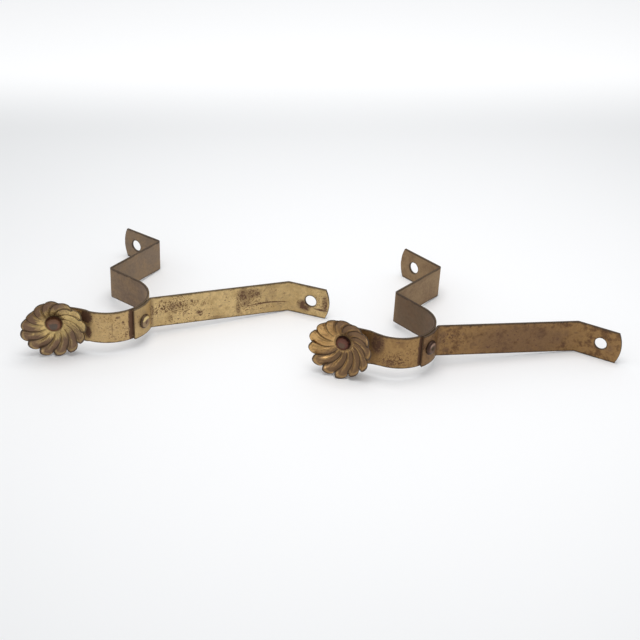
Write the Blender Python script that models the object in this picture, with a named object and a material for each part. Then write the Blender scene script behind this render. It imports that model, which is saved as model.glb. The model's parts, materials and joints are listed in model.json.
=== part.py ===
"""A pair of brass curtain-rod brackets, lying on a table.

Each bracket is a hook strip that holds the rod, a brace riveted to the hook's outside, and a
flower rosette riveted to the hook's front end. Both tabs screw to the wall.

Each bracket has a frame of its own: its origin is on the rod's axis at half the strip's width,
+X runs along the wall towards the long tab, +Y runs to the wall and +Z runs along the rod seat's
axis, across the strip. Seen from above, a strip is a course of straight runs and turns.
"""

import math
from typing import NamedTuple

import bmesh
import bpy
from mathutils import Matrix, Vector

MM = 0.001

# The strips, cut from half-inch brass stock
STRIP_WIDTH = 12.7 * MM
STRIP_THICKNESS = 0.8 * MM
EDGE_CHAMFER = 0.12 * MM
LEAD_WIDTH = 13.2 * MM  # where the hook leaves the rod seat
FLARED_WIDTH = 13.9 * MM  # where it meets its rosette
FOLD_RADIUS = 1.0 * MM  # of a hand-bent fold, at half the thickness
FOLD_STEPS = 5
SEAT_STEPS = 26
LAP_STEPS = 8
FRONT_RADIUS = 24.0 * MM  # of the slight outward bend before the rosette
FRONT_STEPS = 5
TAB_END_RADIUS = 14.2 * MM
END_STEPS = 6
SCREW_HOLE_RADIUS = 2.3 * MM
HOLE_SIDES = 28

# The rivets and their holes
GAP = 0.3 * MM  # between two pieces that bear on each other
SHANK_RADIUS = 1.3 * MM
RIVET_HOLE_RADIUS = SHANK_RADIUS + GAP
BRACE_HEAD_RADIUS = 2.95 * MM
BRACE_HEAD_HEIGHT = 1.0 * MM
DIMPLE_RADIUS = 1.35 * MM  # the hollow end of the brace's rivet
DIMPLE_DEPTH = 0.55 * MM
TAIL_RADIUS = 2.2 * MM
TAIL_HEIGHT = 0.7 * MM
TAIL_GAP = 0.5 * MM  # a flat tail in the hollow of the seat clears its sides
BUTTON_HEIGHT = 1.9 * MM
ROUND_SIDES = 32

# The rosettes, stamped from thin sheet as a dish of swirling petals
PETALS = 13
PETAL_STEPS = 6
ROSETTE_THICKNESS = 0.5 * MM
FLAT_RADIUS = 3.5 * MM  # the flat middle, under the button
NOTCH_DEPTH = 1.5 * MM
DISH_POWER = 1.2
FLUTE_HEIGHT = 0.75 * MM
SWIRL_DEGREES = 34
SWIRL_POWER = 1.4
ROSETTE_RINGS = 6


class Bracket(NamedTuple):
    """The dimensions in which the two hand-bent brackets differ, in metres and degrees."""

    side: str
    place: tuple  # the rod's axis on the table
    yaw: float
    hook_tab: float  # flat lengths between bends
    wall_leg: float
    seat_leg: float
    front_lead: float
    front_turn: float
    front_tail: float
    tab_heading: float  # the hook tab's heading from its tip, by the bracket's +X
    tab_fold: float
    leg_fold: float
    seat_turn: float
    seat_radius: float  # at half the thickness
    lap_start: float  # along the seat, from the bracket's +X
    lap_turn: float
    lap_fold: float
    arm: float
    arm_fold: float
    brace_tab: float
    rivet_turn: float
    rivet_rise: float
    hook_hole: float  # from each tab's square corners to its screw hole
    brace_hole: float
    button_radius: float
    rosette_rise: float
    petal_radius: float  # from the rosette's axis to a petal's tip
    petal_phase: float  # from the rosette's +X to a petal's root
    petal_lean: float  # how far the petals lean forward at the top of the dish
    dish_depth: float


BRACKETS = (
    Bracket(
        side="left", place=(-80.86 * MM, 8.7 * MM), yaw=-30.57,
        hook_tab=16.97 * MM, wall_leg=28.57 * MM, seat_leg=13.92 * MM,
        front_lead=0.86 * MM, front_turn=24.04, front_tail=2.57 * MM,
        tab_heading=-5.7, tab_fold=-87.26, leg_fold=84.97, seat_turn=-162.35, seat_radius=15.1 * MM,
        lap_start=-16.12, lap_turn=36.27, lap_fold=-61.5, arm=54.2 * MM, arm_fold=-39.82,
        brace_tab=15.39 * MM, rivet_turn=2.0, rivet_rise=-0.6 * MM,
        hook_hole=4.97 * MM, brace_hole=6.12 * MM, button_radius=3.2 * MM, rosette_rise=0.32 * MM,
        petal_radius=12.4 * MM, petal_phase=9.9, petal_lean=4.53, dish_depth=3.78 * MM,
    ),
    Bracket(
        side="right", place=(28.46 * MM, -8.7 * MM), yaw=-40.98,
        hook_tab=18.93 * MM, wall_leg=27.73 * MM, seat_leg=14.31 * MM,
        front_lead=3.13 * MM, front_turn=5.0, front_tail=9.4 * MM,
        tab_heading=-7.18, tab_fold=-82.34, leg_fold=82.14, seat_turn=-156.98, seat_radius=13.9 * MM,
        lap_start=-13.36, lap_turn=37.78, lap_fold=-65.12, arm=52.88 * MM, arm_fold=-37.74,
        brace_tab=15.77 * MM, rivet_turn=2.0, rivet_rise=0.5 * MM,
        hook_hole=5.8 * MM, brace_hole=6.36 * MM, button_radius=2.9 * MM, rosette_rise=0.12 * MM,
        petal_radius=12.2 * MM, petal_phase=5.9, petal_lean=-4.02, dish_depth=4.09 * MM,
    ),
)

# Base colour, roughness and metallic value of each finish
FINISHES = {
    "gilt_brass": ((0.46, 0.34, 0.15), 0.42, 0.9),
    "tarnished_brass": ((0.30, 0.22, 0.11), 0.5, 0.85),
    "stamped_brass": ((0.36, 0.25, 0.11), 0.45, 0.9),
    "copper_brown": ((0.22, 0.12, 0.07), 0.45, 0.85),
}


class Station(NamedTuple):
    """One place along a strip: a point seen from above, a heading in radians and half the width."""

    point: Vector
    heading: float
    half_width: float

    def ahead(self):
        return Vector((math.cos(self.heading), math.sin(self.heading)))

    def outward(self):
        """The side on a traveller's left, which is the outside of the hook."""
        return Vector((-math.sin(self.heading), math.cos(self.heading)))


class Course:
    """A strip's course seen from above, drawn one run or turn after another."""

    def __init__(self, point, heading, half_width):
        self.stations = [Station(Vector(point), math.radians(heading), half_width)]

    @property
    def last(self):
        return self.stations[-1]

    def run(self, length, half_width=None):
        start = self.last
        width = start.half_width if half_width is None else half_width
        self.stations.append(Station(start.point + start.ahead() * length, start.heading, width))

    def turn(self, degrees, radius, steps, half_width=None):
        """Turns left by a positive angle and right by a negative one."""
        start = self.last
        width = start.half_width if half_width is None else half_width
        side = math.copysign(radius, degrees)
        centre = start.point + start.outward() * side
        for step in range(1, steps + 1):
            share = step / steps
            heading = start.heading + math.radians(degrees) * share
            spoke = Vector((math.sin(heading), -math.cos(heading))) * side
            self.stations.append(
                Station(centre + spoke, heading, start.half_width + (width - start.half_width) * share)
            )
        return centre

    def move(self, offset):
        self.stations = [s._replace(point=s.point + offset) for s in self.stations]


def rounded_end(radius, half_width):
    """The distances from a rounded end's tip and the half widths there, tip first."""
    widest = math.asin(half_width / radius)
    angles = [widest * (0.25 + 0.75 * step / END_STEPS) for step in range(END_STEPS + 1)]
    tip = radius * math.cos(angles[0])
    return [(tip - radius * math.cos(angle), radius * math.sin(angle)) for angle in angles]


def end_course(course, radius):
    """Adds a rounded end to a course whose last station has the full width."""
    end = rounded_end(radius, course.last.half_width)
    for (near, width), (far, _) in zip(end[-2::-1], end[:0:-1]):
        course.run(far - near, width)


def new_object(name, mesh, material, parent, place):
    obj = bpy.data.objects.new(name, mesh)
    bpy.context.collection.objects.link(obj)
    obj.parent = parent
    obj.matrix_local = place
    mesh.materials.append(material)
    mesh.shade_smooth()
    mesh.set_sharp_from_angle(angle=math.radians(35))
    return obj


def mesh_from(name, bm):
    bmesh.ops.recalc_face_normals(bm, faces=bm.faces)
    mesh = bpy.data.meshes.new(name)
    bm.to_mesh(mesh)
    bm.free()
    return mesh


def skin_rings(bm, rings, closed_on_itself=False):
    """Joins rings of equally many vertices with quads, and caps both ends."""
    pairs = list(zip(rings, rings[1:]))
    if closed_on_itself:
        pairs.append((rings[-1], rings[0]))
    for ring, other in pairs:
        count = len(ring)
        for i in range(count):
            j = (i + 1) % count
            bm.faces.new((ring[i], ring[j], other[j], other[i]))
    if not closed_on_itself:
        bm.faces.new(rings[0])
        bm.faces.new(rings[-1])


def strip_mesh(name, course, origin):
    """A strip of sheet standing on edge along a course, with chamfered edges."""
    bm = bmesh.new()
    half = STRIP_THICKNESS / 2
    rings = []
    for station in course.stations:
        side = half - EDGE_CHAMFER
        rise = station.half_width - EDGE_CHAMFER
        section = (
            (half, -rise), (half, rise), (side, rise + EDGE_CHAMFER), (-side, rise + EDGE_CHAMFER),
            (-half, rise), (-half, -rise), (-side, -rise - EDGE_CHAMFER), (side, -rise - EDGE_CHAMFER),
        )
        ring = []
        for across, up in section:
            point = station.point + station.outward() * across
            ring.append(bm.verts.new(Vector((point.x, point.y, up)) - origin))
        rings.append(ring)
    skin_rings(bm, rings)
    return mesh_from(name, bm)


def turned_mesh(name, profile):
    """A solid turned about +Z from (radius, height) points that start and end on the axis."""
    bm = bmesh.new()
    verts = [bm.verts.new((radius, 0, height)) for radius, height in profile]
    edges = [bm.edges.new(pair) for pair in zip(verts, verts[1:])]
    bmesh.ops.spin(
        bm, geom=verts + edges, axis=(0, 0, 1), cent=(0, 0, 0), steps=ROUND_SIDES, angle=math.tau
    )
    bmesh.ops.remove_doubles(bm, verts=bm.verts, dist=0.001 * MM)
    return mesh_from(name, bm)


def frame_along(point, direction):
    """A frame at a point whose +Z runs along a level direction and whose +Y is the strip's +Z."""
    z_axis = Vector((direction.x, direction.y, 0)).normalized()
    y_axis = Vector((0, 0, 1))
    x_axis = y_axis.cross(z_axis)
    frame = Matrix((x_axis, y_axis, z_axis)).transposed().to_4x4()
    frame.translation = point
    return frame


def drill(obj, parent, frame, radius):
    """Cuts a round hole along a frame's +Z."""
    bm = bmesh.new()
    bmesh.ops.create_cone(
        bm, cap_ends=True, segments=HOLE_SIDES, radius1=radius, radius2=radius,
        depth=8 * STRIP_THICKNESS,
    )
    cutter = bpy.data.objects.new(obj.name + "_cutter", mesh_from("cutter", bm))
    bpy.context.collection.objects.link(cutter)
    cutter.parent = parent
    cutter.matrix_local = frame
    cutter.hide_render = True
    cutter.display_type = "WIRE"
    cut = obj.modifiers.new("hole", "BOOLEAN")
    cut.operation = "DIFFERENCE"
    cut.object = cutter


def hook_course(dims):
    """From the wall tab's tip, round the rod seat, to the end behind the rosette."""
    half = STRIP_WIDTH / 2
    end = rounded_end(TAB_END_RADIUS, half)
    course = Course((0, 0), dims.tab_heading, end[0][1])
    for (near, _), (far, width) in zip(end, end[1:]):
        course.run(far - near, width)
    corner = course.last
    course.run(dims.hook_tab)
    course.turn(dims.tab_fold, FOLD_RADIUS, FOLD_STEPS)
    course.run(dims.wall_leg)
    course.turn(dims.leg_fold, FOLD_RADIUS, FOLD_STEPS)
    course.run(dims.seat_leg)
    centre = course.turn(dims.seat_turn, dims.seat_radius, SEAT_STEPS)
    course.run(dims.front_lead, LEAD_WIDTH / 2)
    course.turn(dims.front_turn, FRONT_RADIUS, FRONT_STEPS, FLARED_WIDTH / 2)
    course.run(dims.front_tail)
    rosette_place = course.last
    end_course(course, FLARED_WIDTH / 2)
    course.move(-centre)
    return course, corner._replace(point=corner.point - centre), rosette_place._replace(
        point=rosette_place.point - centre
    )


def brace_course(dims):
    """From the lap on the hook's outside to the long tab's tip."""
    radius = dims.seat_radius + STRIP_THICKNESS + GAP
    start = math.radians(dims.lap_start)
    point = (radius * math.cos(start), radius * math.sin(start))
    course = Course(point, dims.lap_start + 90, STRIP_WIDTH / 2)
    course.turn(dims.lap_turn, radius, LAP_STEPS)
    course.turn(dims.lap_fold, FOLD_RADIUS, FOLD_STEPS)
    course.run(dims.arm)
    course.turn(dims.arm_fold, FOLD_RADIUS, FOLD_STEPS)
    course.run(dims.brace_tab)
    corner = course.last
    end_course(course, TAB_END_RADIUS)
    return course, corner


def dome(radius, base, height, steps=5):
    """A low dome's profile from its rim up to the axis."""
    return [
        (radius * math.cos(angle), base + height * math.sin(angle))
        for angle in (math.pi / 2 * step / steps for step in range(1, steps))
    ] + [(0, base + height)]


def tail_profile(base):
    """The hammered end of a shank, from the axis up to the face it bears on."""
    return [(0, base - TAIL_HEIGHT), (TAIL_RADIUS * 0.7, base - TAIL_HEIGHT * 0.8), (TAIL_RADIUS, base)]


def brace_rivet_profile():
    """Heights are from half the hook strip's thickness, outwards."""
    under_tail = -STRIP_THICKNESS / 2 - TAIL_GAP
    under_head = STRIP_THICKNESS * 1.5 + 2 * GAP
    top = under_head + BRACE_HEAD_HEIGHT
    return tail_profile(under_tail) + [
        (SHANK_RADIUS, under_tail), (SHANK_RADIUS, under_head), (BRACE_HEAD_RADIUS, under_head),
        (BRACE_HEAD_RADIUS * 0.95, under_head + BRACE_HEAD_HEIGHT * 0.55),
        (BRACE_HEAD_RADIUS * 0.72, top), (DIMPLE_RADIUS * 1.15, top),
        (DIMPLE_RADIUS * 0.8, top - DIMPLE_DEPTH * 0.7), (0, top - DIMPLE_DEPTH),
    ]


def button_profile(radius):
    """The rosette's rivet, with heights from half the hook strip's thickness, outwards."""
    under_tail = -STRIP_THICKNESS / 2 - GAP
    under_head = STRIP_THICKNESS / 2 + 2 * GAP + ROSETTE_THICKNESS
    return tail_profile(under_tail) + [
        (SHANK_RADIUS, under_tail), (SHANK_RADIUS, under_head), (radius, under_head),
    ] + dome(radius, under_head, BUTTON_HEIGHT)


def rosette_point(dims, share, turn):
    """A point of the rosette's front: share runs from the flat middle to the rim, turn is in radians."""
    swirl = math.radians(SWIRL_DEGREES) * share**SWIRL_POWER
    lobe = abs(math.cos(PETALS / 2 * turn))
    rim = dims.petal_radius - NOTCH_DEPTH * (1 - math.sqrt(lobe))
    radius = FLAT_RADIUS + (rim - FLAT_RADIUS) * share
    angle = turn - swirl + math.radians(dims.petal_phase)
    flute = FLUTE_HEIGHT * math.sin(math.pi * min(share, 0.65) / 1.3) * (lobe - 0.5)
    lean = math.tan(math.radians(dims.petal_lean)) * radius * math.sin(angle) * share
    height = dims.dish_depth * share**DISH_POWER + flute + lean
    return Vector((radius * math.cos(angle), radius * math.sin(angle), height))


def rosette_mesh(name, dims):
    """A thin fluted dish with a hole in its flat middle, its back at +Z 0."""
    bm = bmesh.new()
    turns = [math.tau * i / (PETALS * PETAL_STEPS) for i in range(PETALS * PETAL_STEPS)]
    shares = [(ring / ROSETTE_RINGS) ** 0.9 for ring in range(ROSETTE_RINGS + 1)]
    front = [[rosette_point(dims, share, turn) for turn in turns] for share in shares]
    front.insert(
        0, [Vector((math.cos(turn), math.sin(turn), 0)) * RIVET_HOLE_RADIUS for turn in turns]
    )
    back = [[Vector(point) for point in ring] for ring in reversed(front)]
    for ring in front:
        for point in ring:
            point.z += ROSETTE_THICKNESS
    rings = [[bm.verts.new(point) for point in ring] for ring in front + back]
    skin_rings(bm, rings, closed_on_itself=True)
    return mesh_from(name, bm)


def material_for(name):
    colour, roughness, metallic = FINISHES[name]
    material = bpy.data.materials.get(name)
    if material:
        return material
    material = bpy.data.materials.new(name)
    material.use_nodes = True
    shader = material.node_tree.nodes["Principled BSDF"]
    shader.inputs["Base Color"].default_value = (*colour, 1)
    shader.inputs["Roughness"].default_value = roughness
    shader.inputs["Metallic"].default_value = metallic
    return material


def resting_turn(hook_corner, brace_corner, petal):
    """The rotation that lays the plane through three points of contact level."""
    up = (brace_corner - hook_corner).cross(petal - hook_corner)
    if up.z < 0:
        up.negate()
    return up.rotation_difference(Vector((0, 0, 1))).to_matrix().to_4x4()


def lowest_point(objects):
    bpy.context.view_layer.update()
    return min((obj.matrix_world @ vert.co).z for obj in objects for vert in obj.data.vertices)


def make_bracket(dims):
    hook, hook_corner, rosette_place = hook_course(dims)
    brace, brace_corner = brace_course(dims)
    bracket = bpy.data.objects.new(dims.side + "_bracket", None)
    bpy.context.collection.objects.link(bracket)

    hook_strip = new_object(
        dims.side + "_hook_strip", strip_mesh("hook_strip", hook, Vector()),
        material_for("tarnished_brass"), bracket, Matrix(),
    )
    rivet_turn = math.radians(dims.rivet_turn)
    spoke = Vector((math.cos(rivet_turn), math.sin(rivet_turn), 0))
    rivet_point = spoke * dims.seat_radius + Vector((0, 0, dims.rivet_rise))
    rivet_frame = frame_along(rivet_point, spoke)
    brace_strip = new_object(
        dims.side + "_brace", strip_mesh("brace", brace, rivet_point),
        material_for("gilt_brass"), bracket, Matrix.Translation(rivet_point),
    )
    brace_rivet = new_object(
        dims.side + "_brace_rivet", turned_mesh("brace_rivet", brace_rivet_profile()),
        material_for("copper_brown"), bracket, rivet_frame,
    )

    rosette_centre = Vector((*rosette_place.point, dims.rosette_rise))
    outward = Vector((*rosette_place.outward(), 0))
    rosette_frame = frame_along(rosette_centre, outward)
    stand_off = Matrix.Translation((0, 0, STRIP_THICKNESS / 2 + GAP))
    rosette = new_object(
        dims.side + "_rosette", rosette_mesh("rosette", dims),
        material_for("stamped_brass"), bracket, rosette_frame @ stand_off,
    )
    rosette_rivet = new_object(
        dims.side + "_rosette_rivet", turned_mesh("rosette_rivet", button_profile(dims.button_radius)),
        material_for("copper_brown"), bracket, rosette_frame,
    )

    drill(hook_strip, bracket, rivet_frame, RIVET_HOLE_RADIUS)
    drill(hook_strip, bracket, rosette_frame, RIVET_HOLE_RADIUS)
    drill(brace_strip, bracket, rivet_frame, RIVET_HOLE_RADIUS)
    for strip, corner, distance in (
        (hook_strip, hook_corner, dims.hook_hole), (brace_strip, brace_corner, -dims.brace_hole)
    ):
        centre = corner.point + corner.ahead() * distance
        hole_frame = frame_along(Vector((*centre, 0)), corner.outward())
        drill(strip, bracket, hole_frame, SCREW_HOLE_RADIUS)

    bottom = Vector((0, 0, -STRIP_WIDTH / 2))
    reach = STRIP_THICKNESS / 2 + GAP + ROSETTE_THICKNESS + dims.dish_depth
    reach -= math.tan(math.radians(dims.petal_lean)) * dims.petal_radius
    petal = rosette_centre + outward * reach - Vector((0, 0, dims.petal_radius))
    rest = resting_turn(
        Vector((*hook_corner.point, 0)) + bottom, Vector((*brace_corner.point, 0)) + bottom, petal
    )
    yaw = Matrix.Rotation(math.radians(dims.yaw), 4, "Z")
    bracket.matrix_world = Matrix.Translation((*dims.place, 0)) @ yaw @ rest
    pieces = [hook_strip, brace_strip, brace_rivet, rosette, rosette_rivet]
    bracket.location.z -= lowest_point(pieces)
    return bracket, pieces


def centre_on_origin(brackets, pieces):
    """Moves the pair so that its bounding box is centred on the origin."""
    bpy.context.view_layer.update()
    points = [obj.matrix_world @ vert.co for obj in pieces for vert in obj.data.vertices]
    for axis in (0, 1):
        values = [point[axis] for point in points]
        middle = (min(values) + max(values)) / 2
        for bracket in brackets:
            bracket.location[axis] -= middle


def main():
    for obj in list(bpy.data.objects):
        bpy.data.objects.remove(obj, do_unlink=True)
    made = [make_bracket(dims) for dims in BRACKETS]
    centre_on_origin([bracket for bracket, _ in made], [obj for _, pieces in made for obj in pieces])


main()
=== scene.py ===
# %% [markdown]
# # A pair of old brass curtain-rod brackets
# Each bracket is half-inch brass strip, bent cold. The hook strip screws to the wall, folds twice
# and curls round the rod. A side brace is riveted to the hook's outside, and a stamped flower hides
# the hook's front end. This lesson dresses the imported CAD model: every piece is built again, finer,
# in the same place, and gets the finish of brass that has hung in a window for a century.

# %% Load the frame
import json
import math
from typing import NamedTuple

import bpy
import numpy as np
from mathutils import Matrix, Vector

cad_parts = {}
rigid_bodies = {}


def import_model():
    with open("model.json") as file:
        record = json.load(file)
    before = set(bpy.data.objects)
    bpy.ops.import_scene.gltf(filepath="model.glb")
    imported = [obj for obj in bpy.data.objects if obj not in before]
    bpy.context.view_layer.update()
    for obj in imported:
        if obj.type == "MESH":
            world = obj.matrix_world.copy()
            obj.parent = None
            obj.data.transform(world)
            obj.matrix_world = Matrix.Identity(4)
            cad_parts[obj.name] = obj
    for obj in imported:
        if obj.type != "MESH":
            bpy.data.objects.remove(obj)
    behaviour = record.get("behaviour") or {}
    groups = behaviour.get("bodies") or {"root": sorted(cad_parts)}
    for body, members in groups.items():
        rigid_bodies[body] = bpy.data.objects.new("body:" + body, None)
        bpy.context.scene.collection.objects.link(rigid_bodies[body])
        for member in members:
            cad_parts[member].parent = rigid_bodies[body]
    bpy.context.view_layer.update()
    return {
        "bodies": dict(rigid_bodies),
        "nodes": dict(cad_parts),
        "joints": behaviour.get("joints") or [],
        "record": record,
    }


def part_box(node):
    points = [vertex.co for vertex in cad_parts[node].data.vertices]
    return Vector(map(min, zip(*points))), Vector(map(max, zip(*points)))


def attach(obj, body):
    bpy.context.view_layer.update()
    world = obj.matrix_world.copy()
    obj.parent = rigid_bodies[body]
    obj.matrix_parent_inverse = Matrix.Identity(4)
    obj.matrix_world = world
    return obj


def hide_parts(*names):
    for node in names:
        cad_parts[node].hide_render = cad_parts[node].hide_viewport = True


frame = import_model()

MM = 0.001
record = frame["record"]
joints = {joint["name"]: joint for joint in frame["joints"]}
body_of_node = {node: body for body, nodes in record["behaviour"]["bodies"].items() for node in nodes}

# %% [markdown]
# ## Camera, floor and light
# Small brass goods are shown on a white sweep under a light tent. A long lens from about half a
# metre keeps the strips' edges nearly parallel. The tent is a bright world, and two soft boxes give
# the metal something to reflect, because brass under an even sky looks like painted card.

# %% Camera
CAMERA_PLACE = (-0.0002, -0.4268, 0.2808)
CAMERA_PITCH = 33.64  # degrees below the horizon
CAMERA_LENS = 72.74

camera_data = bpy.data.cameras.new("camera")
camera_data.lens = CAMERA_LENS
camera_data.sensor_width = 36
camera = bpy.data.objects.new("camera", camera_data)
camera.location = CAMERA_PLACE
camera.rotation_euler = (math.radians(90 - CAMERA_PITCH), 0, 0)
bpy.context.collection.objects.link(camera)
bpy.context.scene.camera = camera
bpy.context.scene.view_settings.view_transform = "Standard"
print("camera looks", CAMERA_PITCH, "degrees down from", round(Vector(CAMERA_PLACE).length, 3), "m")

# %% [markdown]
# ## Sums that make nodes
# A finish is a sum of masks, and a petal is a formula. Both read better as Python sums than as
# wires, so a `Field` stands for a node's number output: adding or multiplying fields adds Math
# nodes. A `Graph` makes every other node, in shader trees and in geometry trees alike.

# %% Field and Graph
class Field:
    """The output of a node. Python sums on fields add Math nodes to the same tree."""

    def __init__(self, graph, socket):
        self.graph = graph
        self.socket = socket

    def other(self, name):
        """Another output of the same node."""
        return Field(self.graph, self.socket.node.outputs[name])


def sum_method(operation, reflected):
    def method(self, other):
        values = (other, self) if reflected else (self, other)
        return self.graph.maths(operation, *values)

    return method


for symbol, operation in {
    "add": "ADD", "sub": "SUBTRACT", "mul": "MULTIPLY", "truediv": "DIVIDE", "pow": "POWER",
}.items():
    setattr(Field, f"__{symbol}__", sum_method(operation, reflected=False))
    setattr(Field, f"__r{symbol}__", sum_method(operation, reflected=True))


class Graph:
    """Adds nodes to a tree, which it empties first."""

    def __init__(self, tree):
        self.tree = tree
        tree.nodes.clear()

    def node(self, kind, sockets=None, output=0, **settings):
        """Makes a node. Each named or numbered socket gets a value or a field."""
        made = self.tree.nodes.new(kind)
        for name, value in settings.items():
            setattr(made, name, value)
        for key, value in (sockets or {}).items():
            if isinstance(value, Field):
                self.tree.links.new(value.socket, made.inputs[key])
            else:
                made.inputs[key].default_value = value
        return Field(self, made.outputs[output]) if made.outputs else made

    def maths(self, operation, *values):
        return self.node("ShaderNodeMath", dict(enumerate(values)), operation=operation)

    def vector(self, x, y, z):
        return self.node("ShaderNodeCombineXYZ", {0: x, 1: y, 2: z})

    def step(self, value, low, high, start=0.0, end=1.0):
        """Goes smoothly from start to end as the value goes from low to high."""
        ends = {0: value, 1: low, 2: high, 3: start, 4: end}
        return self.node("ShaderNodeMapRange", ends, interpolation_type="SMOOTHSTEP")

    def part(self, vector, axis):
        return self.node("ShaderNodeSeparateXYZ", {"Vector": vector}, output=axis)

    def polar(self, radius, angle, height):
        """The place at a radius and an angle round the Z axis."""
        return self.vector(
            radius * self.maths("COSINE", angle), radius * self.maths("SINE", angle), height
        )

    def moved(self, vector, by):
        return self.node("ShaderNodeVectorMath", {0: vector, 1: by}, operation="ADD")

    def scaled(self, vector, factor):
        return self.node("ShaderNodeVectorMath", {0: vector, "Scale": factor}, operation="SCALE")

    def largest(self, first, *others):
        for other in others:
            first = self.maths("MAXIMUM", first, other)
        return first

    def noise(self, vector, scale, detail=2.0, roughness=0.5):
        sizes = {"Vector": vector, "Scale": scale, "Detail": detail, "Roughness": roughness}
        return self.node("ShaderNodeTexNoise", sizes)

    def mix(self, share, first, second):
        """A colour between two colours."""
        inputs = {0: share, 6: first, 7: second}
        return self.node("ShaderNodeMix", inputs, data_type="RGBA", clamp_factor=True, output=2)

    def coated(self, colour, *coats):
        """A colour under coats laid one after the other, each a share and a colour."""
        for share, coat in coats:
            colour = self.mix(share, colour, coat)
        return colour


print("Field and Graph are ready")

# %% [markdown]
# The sweep is a large white sheet. A pool of light under the brackets is painted into its colour: white
# there, with painted shade turning it a little grey round it and a faint mottling. Behind the brackets
# the flat sheet is painted white again with a faint painted glow, as if it curved up towards the light.

# %% Floor and light
FLOOR_SIDE = 6.0
FLOOR_WHITE = (0.93, 0.93, 0.935, 1)
# painted shade: the grey that the floor is painted away from the pool of light
PAINTED_FLOOR_SHADE = (0.80, 0.805, 0.81, 1)
NO_GLOW = (0, 0, 0, 1)
# a painted glow for the sheet behind the brackets, which is no lamp
PAINTED_SWEEP_GLOW = (0.18, 0.18, 0.18, 1)
POOL_CENTRE = (0.03, -0.02, 0.0)
POOL_REACH = (0.04, 0.34)  # from the pool's centre, where the painted shade starts and where it is full
PAINTED_LIGHT_BEHIND = (0.16, 0.25)  # how far behind the brackets the painted light starts, and where it is full
TENT_COLOUR = (0.97, 0.985, 1.0, 1)
TENT_STRENGTH = 0.57

half = FLOOR_SIDE / 2
corners = [(-half, -half, 0), (half, -half, 0), (half, half, 0), (-half, half, 0)]
floor_mesh = bpy.data.meshes.new("floor")
floor_mesh.from_pydata(corners, [], [(0, 1, 2, 3)])
floor = bpy.data.objects.new("floor", floor_mesh)
bpy.context.collection.objects.link(floor)
floor_material = bpy.data.materials.new("white_sweep_painted_light")
floor_material.use_nodes = True
graph = Graph(floor_material.node_tree)
place = graph.node("ShaderNodeTexCoord", output="Object")
away = graph.node("ShaderNodeVectorMath", {0: place, 1: POOL_CENTRE}, "Value", operation="DISTANCE")
mottled = away + (graph.noise(place, 6.0) - 0.5) * 0.05
# painted light: behind the brackets the flat sheet is painted white again and glows, as if it curved up
ramp_up = graph.step(graph.part(place, "Y"), *PAINTED_LIGHT_BEHIND)
# painted shade: the floor's colour goes grey away from the pool of light
shade = graph.mix(graph.step(mottled, *POOL_REACH) * (1 - ramp_up), FLOOR_WHITE, PAINTED_FLOOR_SHADE)
painted_glow = graph.mix(ramp_up, NO_GLOW, PAINTED_SWEEP_GLOW)
sheet = graph.node(
    "ShaderNodeBsdfPrincipled",
    {"Base Color": shade, "Roughness": 0.8, "Emission Color": painted_glow, "Emission Strength": 1.0},
)
graph.node("ShaderNodeOutputMaterial", {"Surface": sheet})
floor_mesh.materials.append(floor_material)

world = bpy.data.worlds.new("light_tent")
world.use_nodes = True
tent = world.node_tree.nodes["Background"].inputs
tent["Color"].default_value = TENT_COLOUR
tent["Strength"].default_value = TENT_STRENGTH
bpy.context.scene.world = world


def soft_box(name, place, target, size, watts):
    light = bpy.data.lights.new(name, "AREA")
    light.size = size
    light.energy = watts
    box = bpy.data.objects.new(name, light)
    box.location = place
    box.rotation_euler = (Vector(target) - Vector(place)).to_track_quat("-Z", "Y").to_euler()
    bpy.context.collection.objects.link(box)


soft_box("top_soft_box", place=(0.03, 0.0, 0.50), target=(0.02, -0.04, 0), size=0.35, watts=1.5)
soft_box("left_soft_box", place=(-0.55, 0.10, 0.34), target=(0, 0, 0), size=0.30, watts=0.20)
print("floor", FLOOR_SIDE, "m square, tent and two soft boxes")

# %% [markdown]
# ## How the two brackets were bent
# The brackets are a pair of the same hand, but each was bent by hand over a block, so their legs and
# angles differ a little. A strip is told as a course seen from above: straight runs and turns, in
# the order in which its maker bent it. These are the CAD model's own lengths, and the rivets' joints
# in the record say where each bracket lies.

# %% The two brackets' sizes
STRIP_HALF = 6.35 * MM
LEAD_HALF = 6.6 * MM
FLARED_HALF = 6.95 * MM
STRIP_THICKNESS = 0.8 * MM
GAP = 0.3 * MM
FOLD_RADIUS = 1.0 * MM
FRONT_RADIUS = 24.0 * MM
TAB_END_RADIUS = 14.2 * MM
SCREW_HOLE_RADIUS = 2.3 * MM
RIVET_HOLE_RADIUS = 1.6 * MM
ROSETTE_THICKNESS = 0.5 * MM


class Bracket(NamedTuple):
    """The sizes in which the two brackets differ, in metres and degrees."""

    side: str
    hook_tab: float
    wall_leg: float
    seat_leg: float
    front_lead: float
    front_turn: float
    front_tail: float
    tab_heading: float
    tab_fold: float
    leg_fold: float
    seat_turn: float
    seat_radius: float
    lap_start: float
    lap_turn: float
    lap_fold: float
    arm: float
    arm_fold: float
    brace_tab: float
    rivet_turn: float
    rivet_rise: float
    hook_hole: float
    brace_hole: float
    button_radius: float
    rosette_rise: float
    petal_radius: float
    petal_phase: float
    petal_lean: float
    dish_depth: float


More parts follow.
